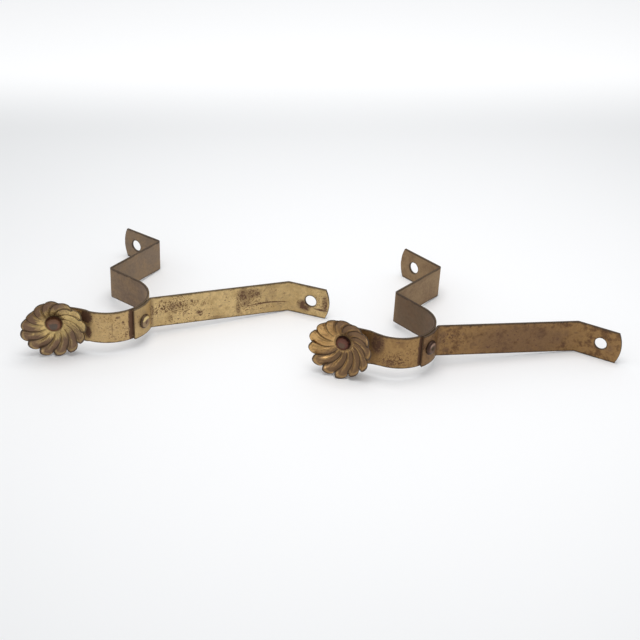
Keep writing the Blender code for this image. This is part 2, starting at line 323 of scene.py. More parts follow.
BRACKETS = (
    Bracket(
        side="left", hook_tab=16.97 * MM, wall_leg=28.57 * MM, seat_leg=13.92 * MM,
        front_lead=0.86 * MM, front_turn=24.04, front_tail=2.57 * MM,
        tab_heading=-5.7, tab_fold=-87.26, leg_fold=84.97, seat_turn=-162.35, seat_radius=15.1 * MM,
        lap_start=-16.12, lap_turn=36.27, lap_fold=-61.5, arm=54.2 * MM, arm_fold=-39.82,
        brace_tab=15.39 * MM, rivet_turn=2.0, rivet_rise=-0.6 * MM,
        hook_hole=4.97 * MM, brace_hole=6.12 * MM, button_radius=3.2 * MM, rosette_rise=0.32 * MM,
        petal_radius=12.4 * MM, petal_phase=9.9, petal_lean=4.53, dish_depth=3.78 * MM,
    ),
    Bracket(
        side="right", hook_tab=18.93 * MM, wall_leg=27.73 * MM, seat_leg=14.31 * MM,
        front_lead=3.13 * MM, front_turn=5.0, front_tail=9.4 * MM,
        tab_heading=-7.18, tab_fold=-82.34, leg_fold=82.14, seat_turn=-156.98, seat_radius=13.9 * MM,
        lap_start=-13.36, lap_turn=37.78, lap_fold=-65.12, arm=52.88 * MM, arm_fold=-37.74,
        brace_tab=15.77 * MM, rivet_turn=2.0, rivet_rise=0.5 * MM,
        hook_hole=5.8 * MM, brace_hole=6.36 * MM, button_radius=2.9 * MM, rosette_rise=0.12 * MM,
        petal_radius=12.2 * MM, petal_phase=5.9, petal_lean=-4.02, dish_depth=4.09 * MM,
    ),
)
print(len(BRACKETS), "brackets, strip", 2 * STRIP_HALF / MM, "x", STRIP_THICKNESS / MM, "mm")

# %% [markdown]
# A `Course` keeps a station every millimetre or so, which is finer than the CAD model's, so that a
# strip can be a little uneven and its folds look round.

# %% Courses
RUN_STEP = 1.2 * MM
TURN_STEP = 4.0  # degrees
END_STEPS = 12


class Course:
    """A strip's course seen from above: points, headings in radians and half widths."""

    def __init__(self, point, heading, half_width):
        self.points = [Vector(point)]
        self.headings = [math.radians(heading)]
        self.halves = [half_width]
        self.marks = {}

    def add(self, point, heading, half_width):
        self.points.append(point)
        self.headings.append(heading)
        self.halves.append(half_width)

    def ahead(self):
        return Vector((math.cos(self.headings[-1]), math.sin(self.headings[-1])))

    def outward(self):
        """A traveller's left, which is the outside of the hook."""
        return Vector((-math.sin(self.headings[-1]), math.cos(self.headings[-1])))

    def run(self, length, half_width=None, steps=None):
        steps = steps or max(1, round(length / RUN_STEP))
        point, ahead, first = self.points[-1], self.ahead(), self.halves[-1]
        last = first if half_width is None else half_width
        for step in range(1, steps + 1):
            share = step / steps
            self.add(point + ahead * length * share, self.headings[-1], first + (last - first) * share)

    def turn(self, degrees, radius, half_width=None):
        """Turns left by a positive angle, and returns the centre of the turn."""
        steps = max(6, round(abs(degrees) / TURN_STEP))
        heading, first = self.headings[-1], self.halves[-1]
        last = first if half_width is None else half_width
        swing = math.copysign(radius, degrees)
        centre = self.points[-1] + self.outward() * swing
        for step in range(1, steps + 1):
            share = step / steps
            now = heading + math.radians(degrees) * share
            spoke = Vector((math.sin(now), -math.cos(now))) * swing
            self.add(centre + spoke, now, first + (last - first) * share)
        return centre

    def mark(self, name):
        """Remembers the last station by name."""
        self.marks[name] = len(self.points) - 1

    def marked(self, name):
        """A marked station's point, and the directions ahead and outward there."""
        heading = self.headings[self.marks[name]]
        ahead = Vector((math.cos(heading), math.sin(heading)))
        return self.points[self.marks[name]], ahead, Vector((-ahead.y, ahead.x))

    def lengths(self):
        """The distance along the course at each station."""
        gaps = [(b - a).length for a, b in zip(self.points, self.points[1:])]
        return np.concatenate([[0], np.cumsum(gaps)])


def rounded_end(half_width, radius):
    """Distances from a tab's round tip and the half widths there."""
    widest = math.asin(half_width / radius)
    angles = [widest * (0.08 + 0.92 * step / END_STEPS) for step in range(END_STEPS + 1)]
    tip = radius * math.cos(angles[0])
    return [(tip - radius * math.cos(angle), radius * math.sin(angle)) for angle in angles]


def close_end(course, radius):
    end = rounded_end(course.halves[-1], radius)
    for (near, width), (far, _) in zip(end[-2::-1], end[:0:-1]):
        course.run(far - near, width, steps=1)


def hook_course(dims):
    """The hook strip from its tab's tip, about the rod's axis."""
    end = rounded_end(STRIP_HALF, TAB_END_RADIUS)
    course = Course((0, 0), dims.tab_heading, end[0][1])
    for (near, _), (far, width) in zip(end, end[1:]):
        course.run(far - near, width, steps=1)
    course.mark("tab corner")
    course.run(dims.hook_tab)
    course.turn(dims.tab_fold, FOLD_RADIUS)
    course.run(dims.wall_leg)
    course.turn(dims.leg_fold, FOLD_RADIUS)
    course.run(dims.seat_leg)
    to_rivet = dims.rivet_turn - 90 - math.degrees(course.headings[-1])
    centre = course.turn(to_rivet, dims.seat_radius)
    course.mark("rivet")
    course.turn(dims.seat_turn - to_rivet, dims.seat_radius)
    course.run(dims.front_lead, LEAD_HALF)
    course.turn(dims.front_turn, FRONT_RADIUS, FLARED_HALF)
    course.run(dims.front_tail)
    course.mark("rosette")
    close_end(course, FLARED_HALF)
    course.points = [point - centre for point in course.points]
    return course


def brace_course(dims):
    """The brace from its lap on the hook, about the rod's axis."""
    radius = dims.seat_radius + STRIP_THICKNESS + GAP
    start = math.radians(dims.lap_start)
    tip = (radius * math.cos(start), radius * math.sin(start))
    course = Course(tip, dims.lap_start + 90, STRIP_HALF)
    course.turn(dims.rivet_turn - dims.lap_start, radius)
    course.mark("rivet")
    course.turn(dims.lap_turn - dims.rivet_turn + dims.lap_start, radius)
    course.turn(dims.lap_fold, FOLD_RADIUS)
    course.run(dims.arm)
    course.turn(dims.arm_fold, FOLD_RADIUS)
    course.run(dims.brace_tab)
    course.mark("tab corner")
    close_end(course, TAB_END_RADIUS)
    return course


for dims in BRACKETS:
    for part, course in (("hook strip", hook_course(dims)), ("brace", brace_course(dims))):
        print(dims.side, part, round(course.lengths()[-1] / MM, 1), "mm long")

# %% [markdown]
# Each bracket's frame comes from the record. It gives the rivet's and the rosette's joint: a point and
# an axis each. The same two points and directions are known on the course, and two directions are
# enough to find how the bracket is turned, tipped forward on its flower as it lies.

# %% Where each bracket lies
def basis(first, second):
    third = first.cross(second).normalized()
    return Matrix((first, third.cross(first), third)).transposed()


def lying_frame(dims):
    """Takes a bracket's own frame, about the rod's axis, to its place in the record."""
    rosette_point, _, outward = hook_course(dims).marked("rosette")
    rivet_turn = math.radians(dims.rivet_turn)
    spoke = Vector((math.cos(rivet_turn), math.sin(rivet_turn), 0))
    rivet_point = spoke * dims.seat_radius + Vector((0, 0, dims.rivet_rise))
    rivet_joint = joints[dims.side + "_brace_swivel"]
    rosette_joint = joints[dims.side + "_rosette_turn"]
    spoke_now = Vector(rivet_joint["axis"]).normalized()
    outward_now = Vector(rosette_joint["axis"]).normalized()
    turn = basis(spoke_now, outward_now) @ basis(spoke, Vector((*outward, 0))).inverted()
    place = Matrix.Translation(Vector(rivet_joint["pos_m"]) - turn @ rivet_point) @ turn.to_4x4()
    centre = place @ Vector((*rosette_point, dims.rosette_rise))
    off = (centre - Vector(rosette_joint["pos_m"])).length
    print(dims.side, "rosette is", round(off / MM, 3), "mm off its joint")
    return place


def frame_along(point, direction):
    """A frame whose +Z runs along a level direction, and whose +Y is the strip's +Z."""
    z_axis = Vector((*direction, 0)).normalized()
    y_axis = Vector((0, 0, 1))
    turned = Matrix((y_axis.cross(z_axis), y_axis, z_axis)).transposed().to_4x4()
    turned.translation = point
    return turned


LYING = {dims.side: lying_frame(dims) for dims in BRACKETS}

# %% [markdown]
# ## Geometry Nodes as a workshop
# Three trees make every piece. One sweeps a strip along a course, one turns a rivet from a profile
# and one stamps a flower. Each tree has named sizes, and `make` evaluates it once, keeps the plain
# mesh and puts it in place, so that no modifier is left on the piece.

# %% Making a piece from a tree
SOCKETS = {int: "NodeSocketInt", float: "NodeSocketFloat"}
WELD = 0.001 * MM  # points closer than this are one point


def workshop_tree(name, sizes):
    """A geometry tree with the named sizes, its graph, its incoming geometry and its size fields."""
    tree = bpy.data.node_groups.new(name, "GeometryNodeTree")
    tree.interface.new_socket("Geometry", in_out="INPUT", socket_type="NodeSocketGeometry")
    tree.interface.new_socket("Geometry", in_out="OUTPUT", socket_type="NodeSocketGeometry")
    tree.interface.new_socket("Finish", in_out="INPUT", socket_type="NodeSocketMaterial")
    for label, value in sizes.items():
        socket = tree.interface.new_socket(label, in_out="INPUT", socket_type=SOCKETS[type(value)])
        socket.default_value = value
    graph = Graph(tree)
    incoming = graph.node("NodeGroupInput", output="Geometry")
    return tree, graph, incoming, {label: incoming.other(label) for label in sizes}


def end_tree(graph, incoming, geometry):
    smooth = graph.node("GeometryNodeSetShadeSmooth", {"Geometry": geometry})
    real = graph.node("GeometryNodeRealizeInstances", {"Geometry": smooth})
    finished = graph.node(
        "GeometryNodeSetMaterial", {"Geometry": real, "Material": incoming.other("Finish")}
    )
    graph.node("NodeGroupOutput", {"Geometry": finished})


def make(name, tree, finish=None, source=None, sizes=None, place=None, cutters=()):
    """Evaluates a tree and keeps its result as a plain mesh in its place."""
    piece = bpy.data.objects.new(name, source or bpy.data.meshes.new(name))
    bpy.context.collection.objects.link(piece)
    modifier = piece.modifiers.new(tree.name, "NODES")
    modifier.node_group = tree
    wanted = {"Finish": finish, **(sizes or {})}
    for item in tree.interface.items_tree:
        if item.in_out == "INPUT" and wanted.get(item.name) is not None:
            modifier[item.identifier] = wanted[item.name]
    for cutter in cutters:
        cut = piece.modifiers.new("hole", "BOOLEAN")
        cut.object = cutter
        cut.solver = "MANIFOLD"
    evaluated = piece.evaluated_get(bpy.context.evaluated_depsgraph_get())
    mesh = bpy.data.meshes.new_from_object(evaluated)
    piece.modifiers.clear()
    piece.data = mesh
    mesh.name = name
    if place is not None:
        mesh.transform(place)
    return piece


def store(graph, geometry, name, value):
    sockets = {"Geometry": geometry, "Name": name, "Value": value}
    return graph.node("GeometryNodeStoreNamedAttribute", sockets, data_type="FLOAT", domain="POINT")


def round_grid(graph, rows, columns):
    """A grid of rows that go once round in their columns: the grid, each point's share of the way
    along the rows, and its angle."""
    sockets = {"Size X": 1.0, "Size Y": 1.0, "Vertices X": rows, "Vertices Y": columns + 1}
    grid = graph.node("GeometryNodeMeshGrid", sockets)
    spot_x = graph.part(graph.node("GeometryNodeInputPosition"), "X")
    return grid, spot_x + 0.5, (spot_x.other("Y") + 0.5) * math.tau


def put(graph, geometry, place):
    """Moves each point to its place and welds the seam where the grid has come round."""
    placed = graph.node("GeometryNodeSetPosition", {"Geometry": geometry, "Position": place})
    return graph.node("GeometryNodeMergeByDistance", {"Geometry": placed, "Distance": WELD})


print("workshop ready")

# %% [markdown]
# ### The strip
# A strip is a thin rounded rectangle swept along its course. The course's points carry the half
# width, so the sweep is scaled up and down where the strip flares or its end is round. Cold-bent
# strip is never quite flat, so a slow noise moves it by a few hundredths of a millimetre.

# %% The strip tree
STRIP_ROWS = 9
EDGE_RADIUS = 0.14 * MM
STRIP_UNEVENNESS = 0.1 * MM

strip_tree, graph, incoming, size = workshop_tree(
    "strip_along_course",
    {"Thickness": STRIP_THICKNESS, "Half width": STRIP_HALF, "Edge radius": EDGE_RADIUS,
     "Unevenness": STRIP_UNEVENNESS, "Seed": 0.0},
)
course_line = graph.node("GeometryNodeMeshToCurve", {"Mesh": incoming})
course_line = graph.node("GeometryNodeSetCurveNormal", {"Curve": course_line}, mode="Z_UP")
section = graph.node(
    "GeometryNodeCurvePrimitiveQuadrilateral",
    {"Width": size["Thickness"], "Height": size["Half width"] * 2}, mode="RECTANGLE",
)
section = graph.node("GeometryNodeSubdivideCurve", {"Curve": section, "Cuts": STRIP_ROWS})
rounding = {"Curve": section, "Count": 3, "Radius": size["Edge radius"], "Limit Radius": True}
section = graph.node("GeometryNodeFilletCurve", rounding, mode="POLY")
swept = graph.node(
    "GeometryNodeCurveToMesh", {"Curve": course_line, "Profile Curve": section, "Fill Caps": True}
)
swept = graph.node("GeometryNodeMergeByDistance", {"Geometry": swept, "Distance": WELD})
spot = graph.node("GeometryNodeInputPosition")
half_width = graph.node("GeometryNodeInputNamedAttribute", {"Name": "half_width"}, data_type="FLOAT")
widened = graph.part(spot, "Z") * (half_width / size["Half width"] - 1)
drift = graph.vector(size["Seed"] * 7.3, size["Seed"] * 1.9, 0.0)
wave = (graph.noise(graph.moved(spot, drift), 90.0) - 0.5) * size["Unevenness"]
shift = graph.vector(wave, wave, widened)
swept = graph.node("GeometryNodeSetPosition", {"Geometry": swept, "Offset": shift})
end_tree(graph, incoming, swept)
print("strip tree:", len(strip_tree.nodes), "nodes")

# %% [markdown]
# ### Turned pieces
# A rivet is a profile turned about its axis. The profile's points come in as a mesh, and a grid
# samples them row by row while its columns go round. A hammered head isn't a perfect turning, so
# the `Hammering` size dents it. The same tree turns the drills that cut the screw holes.

# %% The turning tree
HAMMERED_SPREAD = 300  # how far a dent also pushes the metal outwards, per metre of its depth

turning_tree, graph, incoming, size = workshop_tree(
    "turned_piece", {"Sides": 64, "Hammering": 0.0, "Seed": 0.0}
)
rows = graph.node(
    "GeometryNodeAttributeDomainSize", {"Geometry": incoming}, "Point Count", component="MESH"
)
grid, way, turn = round_grid(graph, rows, size["Sides"])
spot = graph.node("GeometryNodeInputPosition")
wanted = {"Geometry": incoming, "Value": spot, "Index": graph.maths("ROUND", way * (rows - 1))}
sampled = graph.node("GeometryNodeSampleIndex", wanted, data_type="FLOAT_VECTOR", domain="POINT")
radius = graph.part(sampled, "X")
height = radius.other("Z")
round_place = graph.polar(radius, turn, height)
drift = graph.vector(size["Seed"], size["Seed"] * 3.1, 0.0)
dent = (graph.noise(graph.moved(round_place, drift), 520.0, 1.0) - 0.5) * size["Hammering"]
spread = 1 + dent * HAMMERED_SPREAD
factors = graph.vector(spread, spread, 1.0)
hammered = graph.node("ShaderNodeVectorMath", {0: round_place, 1: factors}, operation="MULTIPLY")
lifted = graph.moved(hammered, graph.vector(0.0, 0.0, dent))
turned = put(graph, store(graph, grid, "turned_radius", radius), lifted)
turned = graph.node("GeometryNodeFlipFaces", {"Mesh": turned})
end_tree(graph, incoming, turned)
print("turning tree:", len(turning_tree.nodes), "nodes")

# %% [markdown]
# ### The flower
# The flower is a disc of thin brass struck between two dies. A grid goes from the rivet hole out to
# the rim over the front and back again behind. Its formula dishes the disc, cuts the rim into round
# petals, swirls them and gives each a raised edge that drops in a step to its neighbour, as the vanes
# of a pinwheel do. The mask values are stored on the points, so that the finish can gild the high
# edges and darken the hollows.

# %% The flower tree
PETALS = 13
PETAL_STEPS = 24
FLOWER_ROWS = 81
FLAT_SHARE = 0.14  # of the rows, for the flat middle

flower_tree, graph, incoming, size = workshop_tree(
    "stamped_flower",
    {"Petals": PETALS, "Steps round": PETALS * PETAL_STEPS, "Rings": FLOWER_ROWS,
     "Hole radius": RIVET_HOLE_RADIUS, "Flat radius": 3.5 * MM, "Petal radius": 12.4 * MM,
     "Notch depth": 2.1 * MM, "Dish depth": 4.0 * MM, "Dish power": 1.2, "Flute height": 1.55 * MM,
     "Lip height": 0.3 * MM, "Swirl": math.radians(34), "Swirl power": 1.4, "Phase": 0.0, "Lean": 0.0,
     "Worn side": 0.0, "Worn away": 1.5 * MM, "Worn width": 2.0,
     "Thickness": ROSETTE_THICKNESS, "Unevenness": 0.35 * MM, "Seed": 0.0},
)
flower, way, turn = round_grid(graph, size["Rings"], size["Steps round"])
outwards = 1 - graph.maths("ABSOLUTE", way * 2 - 1)
front = 0.5 + graph.maths("SINE", way * math.tau) * 10
front = graph.node("ShaderNodeClamp", {"Value": front, "Min": 0.0, "Max": 1.0})
share = graph.maths("MAXIMUM", (outwards - FLAT_SHARE) / (1 - FLAT_SHARE), 0.0)
middle = graph.maths("MINIMUM", outwards / FLAT_SHARE, 1.0)

petal = turn * size["Petals"] / math.tau + 0.5
across_petal = graph.maths("FRACT", petal)
petal_number = graph.maths("FLOORED_MODULO", graph.maths("FLOOR", petal), size["Petals"])
chance = graph.node(
    "ShaderNodeTexWhiteNoise", {"W": petal_number + size["Seed"]}, noise_dimensions="1D"
)
bent = (chance - 0.5) * size["Unevenness"] * share
angle = turn - size["Swirl"] * share ** size["Swirl power"] + size["Phase"]
pressed = graph.maths("MAXIMUM", graph.maths("COSINE", angle - size["Worn side"]), 0.0)
worn = pressed ** size["Worn width"]
lobe = graph.maths("SINE", across_petal * math.pi)
notch = size["Notch depth"] * (1 - graph.maths("SQRT", graph.maths("MAXIMUM", lobe, 0.0)))
rim = size["Petal radius"] - notch * (1 - pressed * 0.75) - size["Worn away"] * worn
radius = (
    size["Hole radius"] + (size["Flat radius"] - size["Hole radius"]) * middle
    + (rim - size["Flat radius"]) * share + bent
)

ramp_up = graph.step(across_petal, 0.0, 0.2)
edge = ramp_up * (1 - across_petal) ** 1.1
swell = graph.maths("SINE", math.pi * graph.maths("MINIMUM", share, 0.65) / 1.3)
flute = size["Flute height"] * swell * (edge - 0.35) * (1 - pressed * 0.6)
lip = graph.step(share, 0.82, 0.97) * size["Lip height"]
height = (
    size["Dish depth"] * share ** size["Dish power"] + flute + lip + bent * 1.4
    + graph.maths("TANGENT", size["Lean"]) * radius * graph.maths("SINE", angle) * share
    + size["Thickness"] * front
)
for label, value in {
    "petal_share": share, "petal_across": across_petal, "petal_turn": angle, "petal_front": front,
}.items():
    flower = store(graph, flower, label, value)
end_tree(graph, incoming, put(graph, flower, graph.polar(radius, angle, height)))
print("flower tree:", len(flower_tree.nodes), "nodes")

# %% [markdown]
# ## Finishes
# The brass was gilded with a yellow lacquer. It has kept its gold where light fell on it, with brown
# specks where damp got through, and where it has gone the metal is a dull brown. Edges and the rims
# of holes went first. Each strip carries four numbers on its points: how far along it a point is,
# how far across, how far from an edge, and on which side. A stain is then an ellipse in strip
# millimetres with a ragged rim, so it follows the strip round its bends.

# %% The strip finish
EDGE_BROWN = (0.045, 0.028, 0.017, 1)
SPECK_BROWN = (0.12, 0.056, 0.03, 1)
STAIN_AND_SHADOW_BROWN = (0.165, 0.088, 0.048, 1)
FAR_LEG = (-72.0, -64.0)  # where a hook's dull side changes from its far colour to its near one


class DarkEllipse(NamedTuple):
    """An ellipse in millimetres along and across a strip that darkens it: most are tarnish, a few are
    painted shadow. A strong one has a hard rim, and a bow bends it into an arc."""

    along: float
    across: float
    length: float
    height: float
    strength: float = 1.0
    bow: float = 0.0


class StripLook(NamedTuple):
    """How one strip has aged, with its painted shadows. Colours are linear. The gilt side is 1 outside and
    -1 inside, and the gilding starts at a distance along the strip, in millimetres. Cloudy and bitten are
    shares: how much brown haze lies in the lacquer, and how much more the stains and painted shadows are
    pitted. Peppered places have fine brown specks, and stains and painted shadows are a brown film."""

    gilt: tuple
    gilt_deep: tuple
    cloud: tuple
    dull: tuple
    dull_far: tuple
    gilt_side: int
    gilt_from: float
    cloudy: float
    bitten: float
    peppered: tuple
    stains_and_shadows: tuple


def shader_graph(name):
    material = bpy.data.materials.new(name)
    material.use_nodes = True
    return material, Graph(material.node_tree)


def attribute(graph, name):
    return graph.node("ShaderNodeAttribute", attribute_name=name, output="Fac")


def place_in_mm(graph):
    return graph.scaled(graph.node("ShaderNodeTexCoord", output="Object"), 1 / MM)


def brass(graph, colour, metallic, roughness, height, bump=0.5, depth=0.05 * MM):
    """Ends a finish: a metal whose height field is felt as small dents."""
    normal = graph.node("ShaderNodeBump", {"Height": height, "Strength": bump, "Distance": depth})
    metal = graph.node(
        "ShaderNodeBsdfPrincipled",
        {"Base Color": colour, "Metallic": metallic, "Roughness": roughness, "Normal": normal},
    )
    graph.node("ShaderNodeOutputMaterial", {"Surface": metal})


def stain_and_shadow_masks(graph, stains_and_shadows, along, across, ragged):
    """The strongest of the stains and painted shadows at each point. Their rims follow a ragged noise."""
    masks = []
    for each_patch in stains_and_shadows:
        away = along - each_patch.along
        up = across - each_patch.across - away * away * each_patch.bow
        reach = (away / each_patch.length) ** 2.0 + (up / each_patch.height) ** 2.0
        reach = graph.maths("SQRT", reach) + (ragged - 0.5) * 1.2
        masks.append(graph.step(reach, 1.35, 0.3) * each_patch.strength)
    return graph.largest(*masks)


def strip_finish(name, look, along_start):
    material, graph = shader_graph(name)
    along = attribute(graph, "along") - along_start
    across = attribute(graph, "across")
    rim = attribute(graph, "from_edge")
    side = attribute(graph, "side")
    spot = graph.vector(along, across, side * 0.8)
    cloud = graph.noise(spot, 0.13, 3.0, 0.6)
    blotch = graph.noise(spot, 0.42, 5.0, 0.68)
    fleck = graph.noise(spot, 0.95, 5.0, 0.72)
    grain = graph.noise(spot, 1.7, 4.0, 0.7)
    patch = graph.noise(spot, 0.2)
    lengthways = graph.noise(graph.vector(along * 0.09, across * 2.2, side), 1.0, 3.0, 0.6)
    crossways = graph.noise(graph.vector(along * 1.9, across * 0.12, side), 1.0, 3.0, 0.6)

    gilded = graph.step(along, look.gilt_from - 3, look.gilt_from + 3)
    gilt_face = graph.step(side * look.gilt_side, -0.2, 0.6) * gilded
    # stains and painted shadows alike darken the strip as a brown film and as pitted specks
    stain_and_shadow = stain_and_shadow_masks(graph, look.stains_and_shadows, along, across, blotch)
    peppered = stain_and_shadow_masks(graph, look.peppered, along, across, patch)
    pepper = graph.step(grain + peppered * 0.17, 0.66, 0.71)
    damp_and_shadow = graph.largest(stain_and_shadow * look.bitten, graph.step(patch, 0.48, 0.72) * 0.12)
    specks = graph.step(fleck + damp_and_shadow, 0.67, 0.73)
    film_and_painted_shadow = graph.step(blotch + stain_and_shadow * 0.32, 0.5, 0.8)
    scratches = graph.largest(graph.step(lengthways, 0.64, 0.74), graph.step(crossways, 0.66, 0.76) * 0.7)
    haze = cloud * 0.5 + blotch * 0.5
    clouds = graph.step(haze, 0.56 - 0.1 * look.cloudy, 0.68) * look.cloudy
    worn_edge = graph.step(rim + (blotch - 0.5) * 1.2, 0.7, 0.05)

    gold = graph.mix(graph.step(blotch * 0.6 + cloud * 0.4, 0.37, 0.62), look.gilt_deep, look.gilt)
    gold = graph.coated(
        gold, (clouds * 0.8, look.cloud), (film_and_painted_shadow * 0.6, STAIN_AND_SHADOW_BROWN), (scratches * 0.35, STAIN_AND_SHADOW_BROWN),
        (graph.largest(specks, pepper) * 0.92, SPECK_BROWN),
    )
    dull = graph.coated(
        look.dull_far, (graph.step(along, *FAR_LEG), look.dull),
        (graph.step(haze, 0.42, 0.62) * 0.5, look.cloud),
        (graph.step(grain, 0.62, 0.72) * 0.4, SPECK_BROWN), (scratches * 0.25, SPECK_BROWN),
    )
    colour = graph.coated(dull, (gilt_face, gold), (worn_edge * 0.8, EDGE_BROWN))
    colour = graph.scaled(colour, 0.6 + fleck * 0.8)

    tarnish = graph.largest(clouds * 0.4, specks, film_and_painted_shadow * 0.5, worn_edge)
    metallic = gilt_face * (0.5 - tarnish * 0.35) + 0.35
    roughness = 0.5 - gilt_face * 0.1 + blotch * 0.16 + tarnish * 0.15
    relief = grain * 0.3 + blotch * 0.3 - specks * 0.6 - scratches * 0.35
    brass(graph, colour, metallic, roughness, relief)
    return material


print("strip finish ready")

# %% [markdown]
# The flower is darkest in the bottoms of its steps and round its button, where dirt that fingers and
# cloths never reached lies under painted shade. Its raised petal edges are rubbed back to gold. A painted
# highlight makes one side of each flower gold where the light falls; that side differs from flower to
# flower, so the finish takes a direction for it. Streaks run from the button along the petals, and a thin
# dark outline follows the rim.

# %% The flower finish
class FlowerLook(NamedTuple):
    """How one flower has aged, and where it is painted lit. The lit side is a direction in degrees, seen
    from the front, where a painted highlight makes the petals gold; its share sets how bright that and the
    heart are. A higher reach makes that side narrower. The crests of the petals shine by a share, the heart
    is the gold round the button, as a share of the radius, and the hollow starts at that share of a petal's
    width."""

    gold: tuple
    brown: tuple
    painted_lit_side: float
    gold_and_lit: float
    reach: float
    crest: float
    heart: float
    hollow: float


def flower_finish(name, look):
    material, graph = shader_graph(name)
    share = attribute(graph, "petal_share")
    across = attribute(graph, "petal_across")
    angle = attribute(graph, "petal_turn")
    front = attribute(graph, "petal_front")
    spot = place_in_mm(graph)
    blotch = graph.noise(spot, 0.5, 5.0, 0.7)
    grain = graph.noise(spot, 1.6, 4.0, 0.7)
    pits = graph.step(graph.noise(spot, 1.1, 5.0, 0.75), 0.6, 0.68)
    streaks = graph.noise(graph.vector(angle * 9.0 + across * 3.0, share * 3.0, 0.0), 1.0, 3.0, 0.6)

    heart = graph.step(share + (streaks - 0.5) * 0.7, look.heart, look.heart * 0.4)
    sunny = graph.maths("COSINE", angle - math.radians(look.painted_lit_side)) * 0.5 + 0.5
    crest = graph.step(across, 0.0, 0.05)
    crest = crest * graph.step(across + (blotch - 0.5) * 0.25, 0.36, 0.16)
    # hollow: the bottoms of the steps and a ring round the button are darkened, dirt with painted shade on
    # it
    hollow = graph.largest(graph.step(across, look.hollow, 0.96), graph.step(across, 0.06, 0.0))
    hollow = graph.largest(hollow * graph.step(share, 0.02, 0.2), graph.step(share, 0.03, 0.0, 0.0, 0.7))
    rim_line = graph.step(share, 0.86, 0.9) * graph.step(share, 0.95, 0.925)
    outline = graph.step(share, 0.94, 0.97)
    tip = graph.step(share, 0.5, 0.8)
    # painted highlight: the side of the flower that faces the light is painted gold
    lit = graph.step(sunny ** look.reach * 0.7 + blotch * 0.6, 0.72, 0.98)
    rubbed = crest * graph.step(streaks, 0.35, 0.55) * (1 - tip * 0.8)
    shine = graph.largest(heart * look.gold_and_lit, lit * look.gold_and_lit, rubbed * look.crest, rim_line * 0.45)
    colour = graph.coated(
        look.brown, (shine, look.gold), (graph.step(blotch, 0.48, 0.66) * 0.55, look.brown),
        (hollow * 0.9, EDGE_BROWN), (pits * 0.65, SPECK_BROWN), (outline * 0.85, EDGE_BROWN),
        (graph.step(front, 0.6, 0.3, 0.0, 0.6), look.brown),
    )
    colour = graph.scaled(colour, 0.65 + grain * 0.7)
    metallic = 0.6 + shine * 0.35 - outline * 0.4
    roughness = 0.46 - shine * 0.18 + pits * 0.15 + (blotch - 0.5) * 0.3
    relief = grain * 0.4 + blotch * 0.5 - pits * 0.4
    brass(graph, colour, metallic, roughness, relief, bump=0.8, depth=0.12 * MM)
    return material


print("flower finish ready")

# %% [markdown]
# The rivets have gone a dark red brown, nearly black at the rim where they meet the brass. Their upper
# halves carry a painted highlight: gold on the left bracket's stud, a pale copper on the others.

# %% The rivet finish
class RivetLook(NamedTuple):
    """Colours from the axis out to the rim and their radii in millimetres. The glint is a painted
    highlight on the upper part, above a height over the table."""

    middle: tuple
    copper: tuple
    rim: tuple
    glint: tuple
    middle_radius: float
    rim_radius: float
    glint_above: float


def rivet_finish(name, look):
    material, graph = shader_graph(name)
    radius = attribute(graph, "turned_radius") / MM
    spot = place_in_mm(graph)
    blotch = graph.noise(spot, 0.8, 4.0, 0.65)
    grain = graph.noise(spot, 3.6, 3.0, 0.7)
    wander = radius + (blotch - 0.5) * 1.1
    height = graph.part(spot, "Z") + (blotch - 0.5) * 1.2
    colour = graph.coated(
        look.middle, (graph.step(wander, look.middle_radius, look.middle_radius + 0.7), look.copper),
        # painted highlight: the glint colour goes on above a height over the table
        (graph.step(height, look.glint_above, look.glint_above + 0.6) * 0.85, look.glint),
        (graph.step(wander, look.rim_radius - 0.35, look.rim_radius), look.rim),
        (graph.step(grain, 0.58, 0.7) * 0.6, EDGE_BROWN),
    )
    colour = graph.scaled(colour, 0.75 + blotch * 0.5)
    brass(graph, colour, 0.55 + blotch * 0.3, 0.32 + grain * 0.25, blotch * 0.6 + grain * 0.4, bump=0.6)
    return material


print("rivet finish ready")

# %% [markdown]
# ## Building the strips
# A strip's holes are drilled with turned cutters, a touch wider at each face, as a drill leaves them
# when the burr is scraped off. After drilling, every point is measured against its course to give it
# the numbers that the finish reads.

# %% Strips
HOLE_SCRAPE = 0.12 * MM

def profile_mesh(name, points):
    """A turning profile of (radius, height) points."""
    mesh = bpy.data.meshes.new(name)
    mesh.from_pydata([(radius, 0, height) for radius, height in points], [], [])
    return mesh


def drill(name, radius, frame):
    """A turned cutter, widened beyond each face of the strip."""
    deep, skin = 4 * STRIP_THICKNESS, STRIP_THICKNESS / 2
    wide = radius + HOLE_SCRAPE
    profile = profile_mesh(name, [
        (0, -deep), (wide, -deep), (wide, -skin), (radius, HOLE_SCRAPE - skin),
        (radius, skin - HOLE_SCRAPE), (wide, skin), (wide, deep), (0, deep),
    ])
    cutter = make(name, turning_tree, source=profile, sizes={"Sides": 48}, place=frame)
    cutter.hide_render = True
    return cutter


def course_mesh(name, course):
    mesh = bpy.data.meshes.new(name)
    count = len(course.points)
    mesh.from_pydata([(*point, 0) for point in course.points], [(i, i + 1) for i in range(count - 1)], [])
    widths = mesh.attributes.new("half_width", "FLOAT", "POINT")
    widths.data.foreach_set("value", course.halves)
    return mesh


